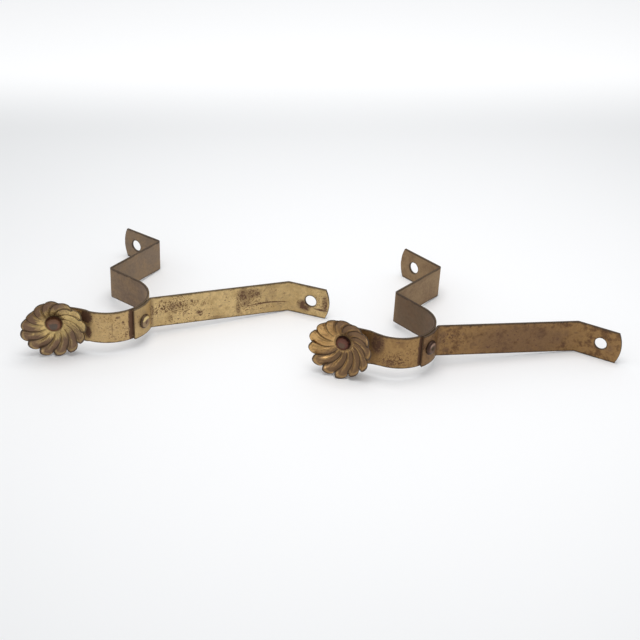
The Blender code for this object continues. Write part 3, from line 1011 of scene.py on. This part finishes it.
def measure(mesh, course, holes):
    """Writes each point's place on the strip, in millimetres, as attributes."""
    count = len(mesh.vertices)
    points = np.empty(count * 3)
    mesh.vertices.foreach_get("co", points)
    points = points.reshape(-1, 3)
    line = np.array(course.points)
    start, run = line[:-1], np.diff(line, axis=0)
    length = np.linalg.norm(run, axis=1)
    away = points[:, None, :2] - start
    share = np.clip((away * run).sum(2) / length**2, 0, 1)
    apart = away - share[..., None] * run
    nearest = (apart**2).sum(2).argmin(1)
    every = np.arange(count)
    share, apart, run = share[every, nearest], apart[every, nearest], run[nearest]
    along = course.lengths()[nearest] + share * length[nearest]
    side = (run[:, 0] * apart[:, 1] - run[:, 1] * apart[:, 0]) / length[nearest]
    half = np.interp(along, course.lengths(), course.halves)
    rim = half - np.abs(points[:, 2])
    for centre, radius in holes:
        rim = np.minimum(rim, np.hypot(along - centre[0], points[:, 2] - centre[1]) - radius)
    for name, values in {
        "along": along / MM, "across": points[:, 2] / MM, "from_edge": rim / MM,
        "side": side / (STRIP_THICKNESS / 2),
    }.items():
        mesh.attributes.new(name, "FLOAT", "POINT").data.foreach_set("value", values.astype(np.float32))


def make_strip(name, course, drills, finish, place, seed):
    """Makes a finished strip. Its drills are what drill_here gives."""
    cutters = [drill(f"{name}_drill_{i}", radius, frame) for i, (_, _, radius, frame) in enumerate(drills)]
    strip = make(name, strip_tree, finish, course_mesh(name, course), {"Seed": seed}, cutters=cutters)
    for cutter in cutters:
        bpy.data.objects.remove(cutter)
    measure(strip.data, course, [((along, rise), radius) for along, rise, radius, _ in drills])
    strip.data.transform(place)
    strip.data.set_sharp_from_angle(angle=math.radians(32))
    print(name, len(strip.data.vertices), "points,", len(drills), "holes")
    return strip


def drill_here(course, mark, offset, rise, radius):
    """A hole at a distance from a marked station: how far along, how high, its radius and its frame."""
    point, ahead, outward = course.marked(mark)
    frame = frame_along((*(point + ahead * offset), rise), outward)
    return course.lengths()[course.marks[mark]] + offset, rise, radius, frame


print("strip builder ready")

# %% [markdown]
# ## How each strip has aged
# The left bracket kept a pale gold with many brown specks. Damp left a dark mottling two thirds
# along its arm, and something scraped a long line from there to the far bend. The right bracket went
# further: its arm is a clouded bronze brown, darkest past its middle. Both hooks carry a painted shadow
# where the lap ends, and by the flower a dark patch that is partly tarnish and partly painted shadow.
# Inside, where no lacquer was laid, the strips are dull brown. A hook's millimetres count back from its
# rosette, a brace's start at its lap.

# %% Ageing
LEFT_HOOK_LOOK = StripLook(
    gilt=(0.60, 0.42, 0.20, 1), gilt_deep=(0.48, 0.32, 0.14, 1), cloud=(0.34, 0.22, 0.11, 1),
    dull=(0.20, 0.13, 0.080, 1), dull_far=(0.225, 0.156, 0.10, 1),
    gilt_side=1, gilt_from=-58, cloudy=0.3, bitten=0.22,
    peppered=(DarkEllipse(-22, 1, 9, 7, 0.5), DarkEllipse(-26.5, -3, 3, 3, 0.7)),
    stains_and_shadows=(
        # the first three darken the strip by the flower, partly tarnish and partly painted shadow; the one
        # at -29.7 is a painted shadow where the lap's edge lies
        DarkEllipse(-12.6, 4.0, 2.6, 2.6, 1.8), DarkEllipse(-13.2, -2.4, 1.6, 2.8, 1.5), DarkEllipse(-10.5, 0, 1.6, 7.5, 0.6),
        DarkEllipse(-24.5, 4.2, 1.0, 0.6), DarkEllipse(-26.4, 1.8, 0.6, 0.7), DarkEllipse(-27.2, -3.6, 0.4, 1.6, 0.8),
        DarkEllipse(-22.3, 0, 0.3, 5.0, 0.5), DarkEllipse(-29.7, 0, 1.3, 12.0, 1.8),
    ),
)
LEFT_BRACE_LOOK = StripLook(
    gilt=(0.72, 0.53, 0.255, 1), gilt_deep=(0.47, 0.325, 0.145, 1), cloud=(0.34, 0.21, 0.10, 1),
    dull=(0.19, 0.13, 0.08, 1), dull_far=(0.19, 0.13, 0.08, 1),
    gilt_side=-1, gilt_from=-9, cloudy=0.35, bitten=0.2,
    peppered=(
        DarkEllipse(21, 1.5, 13, 5.5), DarkEllipse(24, -2, 16, 6, 0.6), DarkEllipse(50, 0, 9, 9, 0.7),
        DarkEllipse(80, 0, 4, 7, 0.7),
    ),
    stains_and_shadows=(
        DarkEllipse(10.9, 0, 1.5, 8.0, 0.7), DarkEllipse(5.1, -0.6, 3.9, 3.9, 0.5), DarkEllipse(20.3, 1.7, 3.4, 2.2, 0.6),
        DarkEllipse(26.9, 3.2, 0.7, 0.8), DarkEllipse(29.8, -2.2, 1.6, 0.9), DarkEllipse(18.4, -3.0, 1.4, 1.0, 0.7),
        DarkEllipse(47.4, 3.0, 2.7, 3.6, 0.95), DarkEllipse(45.4, -2.2, 1.3, 4.0, 0.75),
        DarkEllipse(51.0, 3.0, 4.5, 2.6, 0.85), DarkEllipse(48.6, -0.4, 2.2, 2.6, 0.6),
        DarkEllipse(37.0, -5.4, 4.0, 0.9, 0.6), DarkEllipse(60, 0, 13, 9, 0.3), DarkEllipse(1, 0, 8, 9, 0.5),
        DarkEllipse(57.0, -1.6, 9.0, 0.36, 1.6, bow=-0.012), DarkEllipse(72.8, -2.4, 3.2, 2.6, 1.3),
        DarkEllipse(75.2, 0, 3.3, 3.3, 0.55), DarkEllipse(81.5, 0, 1.4, 4.5, 0.9),
        DarkEllipse(80.0, -3.0, 3.5, 0.5, 1.2), DarkEllipse(60.5, 3.4, 0.7, 0.5, 0.7),
    ),
)
RIGHT_HOOK_LOOK = StripLook(
    gilt=(0.44, 0.27, 0.105, 1), gilt_deep=(0.27, 0.155, 0.065, 1), cloud=(0.18, 0.10, 0.05, 1),
    dull=(0.15, 0.092, 0.048, 1), dull_far=(0.30, 0.192, 0.092, 1),
    gilt_side=1, gilt_from=-54, cloudy=0.6, bitten=0.16,
    peppered=(DarkEllipse(-20, -3.2, 7, 4), DarkEllipse(-25, 0, 4, 7, 0.5)),
    stains_and_shadows=(
        # the first darkens the strip by the flower, partly tarnish and partly painted shadow; the one at
        # -29.0 is a painted shadow where the lap's edge lies
        DarkEllipse(-12.8, 2.6, 2.9, 4.6, 1.6), DarkEllipse(-17.5, -4.5, 3.6, 1.9, 0.6),
        DarkEllipse(-29.0, 0, 0.9, 12.0, 2.2), DarkEllipse(-60.0, 0, 8.0, 8.5, 0.55), DarkEllipse(-21.0, 4.6, 2.0, 0.7, 0.5),
    ),
)
RIGHT_BRACE_LOOK = StripLook(
    gilt=(0.46, 0.275, 0.105, 1), gilt_deep=(0.125, 0.062, 0.03, 1), cloud=(0.11, 0.056, 0.032, 1),
    dull=(0.15, 0.09, 0.05, 1), dull_far=(0.15, 0.09, 0.05, 1),
    gilt_side=-1, gilt_from=-9, cloudy=0.9, bitten=0.12,
    peppered=(DarkEllipse(17, 1, 7, 6, 0.8), DarkEllipse(4, 0, 6, 7, 0.6)),
    stains_and_shadows=(
        DarkEllipse(10.5, 0, 1.5, 8.0, 0.7), DarkEllipse(0, 0, 7.5, 9, 0.6), DarkEllipse(12.6, 2.5, 1.7, 1.8, 0.7),
        DarkEllipse(14.2, -3.9, 1.6, 1.2, 0.8), DarkEllipse(16.6, 2.2, 1.5, 0.5, 0.7), DarkEllipse(20.3, 2.6, 0.6, 1.0, 0.7),
        DarkEllipse(19.3, -2.3, 0.8, 0.6, 0.6), DarkEllipse(34.6, -0.5, 6.0, 5.0, 0.5),
        DarkEllipse(56.5, -0.5, 3.4, 4.2, 0.9), DarkEllipse(42, -1, 22, 9, 0.85),
        DarkEllipse(60.3, 1.2, 1.7, 2.5, 0.6), DarkEllipse(51.0, -5.0, 2.6, 0.9, 0.6), DarkEllipse(77.5, -1.0, 2.2, 2.6, 0.5),
    ),
)
STRIP_LOOKS = {"left": (LEFT_HOOK_LOOK, LEFT_BRACE_LOOK), "right": (RIGHT_HOOK_LOOK, RIGHT_BRACE_LOOK)}
FLOWER_LOOKS = {
    "left": FlowerLook(
        gold=(0.66, 0.475, 0.20, 1), brown=(0.225, 0.136, 0.082, 1),
        painted_lit_side=25, gold_and_lit=0.95, reach=2.5, crest=0.7, heart=0.46, hollow=0.85,
    ),
    "right": FlowerLook(
        gold=(0.74, 0.46, 0.18, 1), brown=(0.225, 0.13, 0.064, 1),
        painted_lit_side=165, gold_and_lit=0.85, reach=1.3, crest=0.75, heart=0.03, hollow=0.74,
    ),
}
BUTTON_LOOKS = {
    "left": RivetLook(
        middle=(0.12, 0.09, 0.07, 1), copper=(0.22, 0.105, 0.065, 1), rim=(0.10, 0.04, 0.025, 1),
        glint=(0.26, 0.14, 0.085, 1), middle_radius=1.3, rim_radius=2.9, glint_above=13.0,
    ),
    "right": RivetLook(
        middle=(0.14, 0.085, 0.055, 1), copper=(0.15, 0.058, 0.042, 1), rim=(0.06, 0.022, 0.018, 1),
        glint=(0.20, 0.085, 0.06, 1), middle_radius=1.0, rim_radius=2.6, glint_above=12.6,
    ),
}
STUD_LOOKS = {
    "left": RivetLook(
        middle=(0.20, 0.12, 0.08, 1), copper=(0.34, 0.235, 0.13, 1), rim=(0.10, 0.06, 0.034, 1),
        glint=(0.85, 0.66, 0.30, 1), middle_radius=0.5, rim_radius=2.5, glint_above=10.2,
    ),
    "right": RivetLook(
        middle=(0.085, 0.055, 0.026, 1), copper=(0.15, 0.08, 0.05, 1), rim=(0.06, 0.03, 0.02, 1),
        glint=(0.46, 0.30, 0.22, 1), middle_radius=0.7, rim_radius=2.2, glint_above=11.4,
    ),
}
print("looks for", ", ".join(STRIP_LOOKS))

# %% [markdown]
# ## Building the brackets
# Each finished piece takes the place of its CAD node: it rides on the same body, so the brace still
# swivels and the flower still turns.


def take_place(piece, node):
    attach(piece, body_of_node[node])
    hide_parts(node)
    low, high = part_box(node)
    points = np.array([vert.co for vert in piece.data.vertices])
    off = max(np.abs(points.min(0) - np.array(low)).max(), np.abs(points.max(0) - np.array(high)).max())
    print(piece.name, "stands for", node, "and its box is within", round(off / MM, 2), "mm")


# %% [markdown]
# A hook strip has three holes: one for its screw, one for the brace's rivet and one for the rosette's.
# A brace has two. Each piece takes its own seed, so that no two strips are uneven in the same way.

# %% Hook strips and braces
for number, dims in enumerate(BRACKETS):
    hook_look, brace_look = STRIP_LOOKS[dims.side]
    hook = hook_course(dims)
    rosette_along = hook.lengths()[hook.marks["rosette"]]
    hook_piece = make_strip(
        dims.side + "_hook", hook, (
            drill_here(hook, "tab corner", dims.hook_hole, 0, SCREW_HOLE_RADIUS),
            drill_here(hook, "rivet", 0, dims.rivet_rise, RIVET_HOLE_RADIUS),
            drill_here(hook, "rosette", 0, dims.rosette_rise, RIVET_HOLE_RADIUS),
        ),
        strip_finish(dims.side + "_hook_finish", hook_look, rosette_along / MM), LYING[dims.side],
        1.0 + number,
    )
    take_place(hook_piece, dims.side + "_hook_strip")

    brace = brace_course(dims)
    brace_piece = make_strip(
        dims.side + "_side_brace", brace, (
            drill_here(brace, "rivet", 0, dims.rivet_rise, RIVET_HOLE_RADIUS),
            drill_here(brace, "tab corner", -dims.brace_hole, 0, SCREW_HOLE_RADIUS),
        ),
        strip_finish(dims.side + "_brace_finish", brace_look, 0.0), LYING[dims.side], 3.0 + number,
    )
    take_place(brace_piece, dims.side + "_brace")

# %% [markdown]
# The flowers are struck from one die, so the tree is the same for both. Only the angle at which each
# was riveted on, the depth to which it was struck and the side that was worn back since differ.

# %% Flowers
STAND_OFF = STRIP_THICKNESS / 2 + GAP
WEAR = {
    "left": {"Worn side": math.radians(137), "Worn away": 1.9 * MM, "Worn width": 6.0},
    "right": {"Worn side": math.radians(100), "Worn away": 1.0 * MM, "Worn width": 2.0},
}

for number, dims in enumerate(BRACKETS):
    point, _, outward = hook_course(dims).marked("rosette")
    frame_here = LYING[dims.side] @ frame_along((*point, dims.rosette_rise), outward)
    flower_piece = make(
        dims.side + "_flower", flower_tree,
        flower_finish(dims.side + "_flower_finish", FLOWER_LOOKS[dims.side]),
        sizes={
            "Petal radius": dims.petal_radius, "Dish depth": dims.dish_depth, "Seed": 5.0 + number,
            "Lean": math.radians(dims.petal_lean), "Phase": math.radians(dims.petal_phase),
            **WEAR[dims.side],
        },
        place=frame_here @ Matrix.Translation((0, 0, STAND_OFF)),
    )
    flower_piece.data.set_sharp_from_angle(angle=math.radians(50))
    print(flower_piece.name, len(flower_piece.data.polygons), "faces")
    take_place(flower_piece, dims.side + "_rosette")

# %% [markdown]
# The flower's rivet, the button, has a domed head with a thin rolled lip, hammered a little flat. The
# brace's rivet, the stud, is half tubular: its hollow end was rolled outwards, which leaves a low
# ring round a dimple. Both heads bear on the brass, and their flat tails show inside the hook.

# %% Rivets
SHANK_RADIUS = 1.3 * MM
TAIL_RADIUS = 2.2 * MM
TAIL_HEIGHT = 0.7 * MM
BUTTON_HEIGHT = 1.9 * MM
STUD_RADIUS = 2.8 * MM
STUD_HEIGHT = 0.75 * MM
BUTTON_LIP = 0.32 * MM
STUD_LIP = 0.15 * MM
DIMPLE_DEPTH = 0.25 * MM
BEARING_GAP = 0.06 * MM
SEAT_TAIL_GAP = 0.42 * MM  # a flat tail clears the hollow of the round seat
HAMMERING = 0.16 * MM


def quarter(steps=10):
    """The angles of a quarter turn."""
    return [math.pi / 2 * step / steps for step in range(steps + 1)]


def tail_profile(under):
    tail = [
        (TAIL_RADIUS * math.sin(angle), under - TAIL_HEIGHT * (0.35 + 0.65 * math.cos(angle) ** 0.7))
        for angle in quarter()[:-1]
    ]
    return tail + [(TAIL_RADIUS, under - 0.2 * MM), (TAIL_RADIUS * 0.97, under), (SHANK_RADIUS, under)]


def button_profile(radius):
    under = STRIP_THICKNESS / 2 + GAP + ROSETTE_THICKNESS + BEARING_GAP
    top = STRIP_THICKNESS / 2 + 2 * GAP + ROSETTE_THICKNESS + BUTTON_HEIGHT
    lip = under + BUTTON_LIP
    dome = [
        (radius * 0.93 * math.cos(angle) ** 0.8, lip + (top - lip) * math.sin(angle) ** 0.9)
        for angle in quarter()
    ]
    return tail_profile(-STRIP_THICKNESS / 2 - BEARING_GAP) + [
        (SHANK_RADIUS, under), (radius * 0.97, under), (radius, under + BUTTON_LIP * 0.35),
        (radius * 0.98, under + BUTTON_LIP * 0.8), *dome,
    ]


def stud_profile():
    under = STRIP_THICKNESS * 1.5 + GAP + BEARING_GAP
    top = STRIP_THICKNESS * 1.5 + 2 * GAP + STUD_HEIGHT
    ring = STUD_RADIUS * 0.5
    lip = under + STUD_LIP
    roll = [
        (STUD_RADIUS - ring + ring * math.cos(angle * 2), lip + (top - lip) * math.sin(angle * 2))
        for angle in quarter(12)
    ]
    dimple = top - DIMPLE_DEPTH
    return tail_profile(-STRIP_THICKNESS / 2 - SEAT_TAIL_GAP) + [
        (SHANK_RADIUS, under), (STUD_RADIUS, under), *roll,
        (ring * 0.9, dimple + 0.1 * MM), (ring * 0.45, dimple), (0, dimple),
    ]


for number, dims in enumerate(BRACKETS):
    for mark, rise, profile, looks, piece_name, node in (
        ("rosette", dims.rosette_rise, button_profile(dims.button_radius), BUTTON_LOOKS, "_button",
         "_rosette_rivet"),
        ("rivet", dims.rivet_rise, stud_profile(), STUD_LOOKS, "_stud", "_brace_rivet"),
    ):
        point, _, outward = hook_course(dims).marked(mark)
        name = dims.side + piece_name
        finish = rivet_finish(name + "_finish", looks[dims.side])
        piece = make(
            name, turning_tree, finish, profile_mesh(name, profile),
            sizes={"Hammering": HAMMERING, "Seed": 2.0 + number},
            place=LYING[dims.side] @ frame_along((*point, rise), outward),
        )
        piece.data.set_sharp_from_angle(angle=math.radians(40))
        take_place(piece, dims.side + node)
